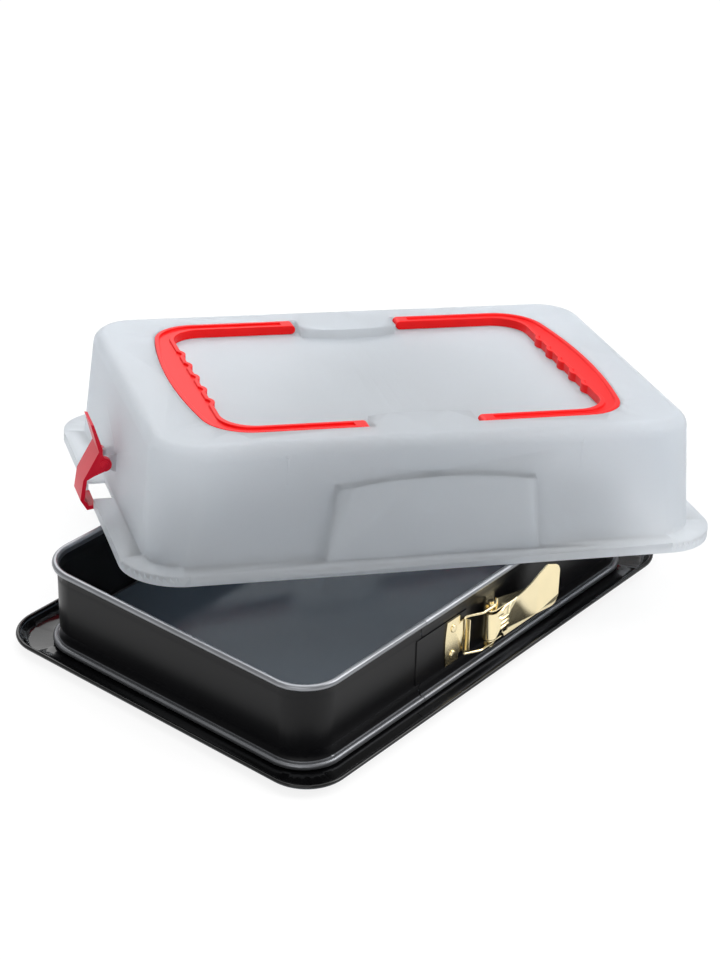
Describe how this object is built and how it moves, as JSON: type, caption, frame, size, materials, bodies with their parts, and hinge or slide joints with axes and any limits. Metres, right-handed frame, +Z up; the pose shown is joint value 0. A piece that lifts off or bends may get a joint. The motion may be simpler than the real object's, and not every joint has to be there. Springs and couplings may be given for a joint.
{
  "type": "springform pan with lid",
  "caption": "Rectangular springform cake pan on a gutter tray, with a latched ring and a high carrying lid laid askew on the rim.",
  "frame": {"origin": "middle of the baking floor, on its upper face, where the cake rests", "axes": "+Z up; +X along the pan's long sides; the latch is on the -Y side"},
  "size_m": [0.5355, 0.4747, 0.1711],
  "materials": {
    "enamelled_steel": "gloss",
    "coated_ring_steel": "satin",
    "brassed_steel": "polished",
    "frosted_polypropylene": "frosted translucent",
    "red_polypropylene": "gloss",
    "crimson_polypropylene": "gloss"
  },
  "bodies": {
    "tray": {"base_tray": "enamelled_steel"},
    "ring": {"springform_ring": "coated_ring_steel", "catch_plate": "brassed_steel", "catch_rivets": "brassed_steel", "lever_bracket": "brassed_steel", "bracket_rivets": "brassed_steel", "lever_pin": "brassed_steel"},
    "lever": {"latch_lever": "brassed_steel"},
    "bail": {"latch_bail": "brassed_steel"},
    "lid": {"lid_shell": "frosted_polypropylene"},
    "left_handle": {"handle_left": "red_polypropylene"},
    "right_handle": {"handle_right": "red_polypropylene"},
    "left_clip": {"clip_left": "crimson_polypropylene"},
    "right_clip": {"clip_right": "crimson_polypropylene"}
  },
  "joints": [
    {"name": "ring_lift", "type": "slide", "parent": "tray", "child": "ring", "axis": [0, 0, 1], "range_m": [0, 0.08]},
    {"name": "latch_lever", "type": "hinge", "parent": "ring", "child": "lever", "pos_m": [0.001, -0.1315, 0.0277], "axis": [0, 0, -1], "range_deg": [0, 150]},
    {"name": "latch_bail", "type": "hinge", "parent": "lever", "child": "bail", "pos_m": [0.0105, -0.1296, 0.0277], "axis": [0, 0, -1], "range_deg": [-150, 0]},
    {"name": "lid_lift", "type": "slide", "parent": "ring", "child": "lid", "axis": [0, 0, 1], "range_m": [0, 0.25]},
    {"name": "handle_left", "type": "hinge", "parent": "lid", "child": "left_handle", "pos_m": [0.04697, 0.0628, 0.13944], "axis": [0.5638, 0.819, -0.1069], "range_deg": [0, 100]},
    {"name": "handle_right", "type": "hinge", "parent": "lid", "child": "right_handle", "pos_m": [0.11981, 0.01195, 0.134], "axis": [-0.5638, -0.819, 0.1069], "range_deg": [0, 100]},
    {"name": "clip_left", "type": "hinge", "parent": "lid", "child": "left_clip", "pos_m": [-0.09499, 0.15454, 0.09362], "axis": [0.5638, 0.819, -0.1069], "range_deg": [-15, 20]},
    {"name": "clip_right", "type": "hinge", "parent": "lid", "child": "right_clip", "pos_m": [0.24923, -0.08577, 0.06787], "axis": [-0.5638, -0.819, 0.1069], "range_deg": [-15, 20]}
  ],
  "couplings": [
    {"joint": "latch_bail", "follows": "latch_lever", "ratio": -1}
  ]
}
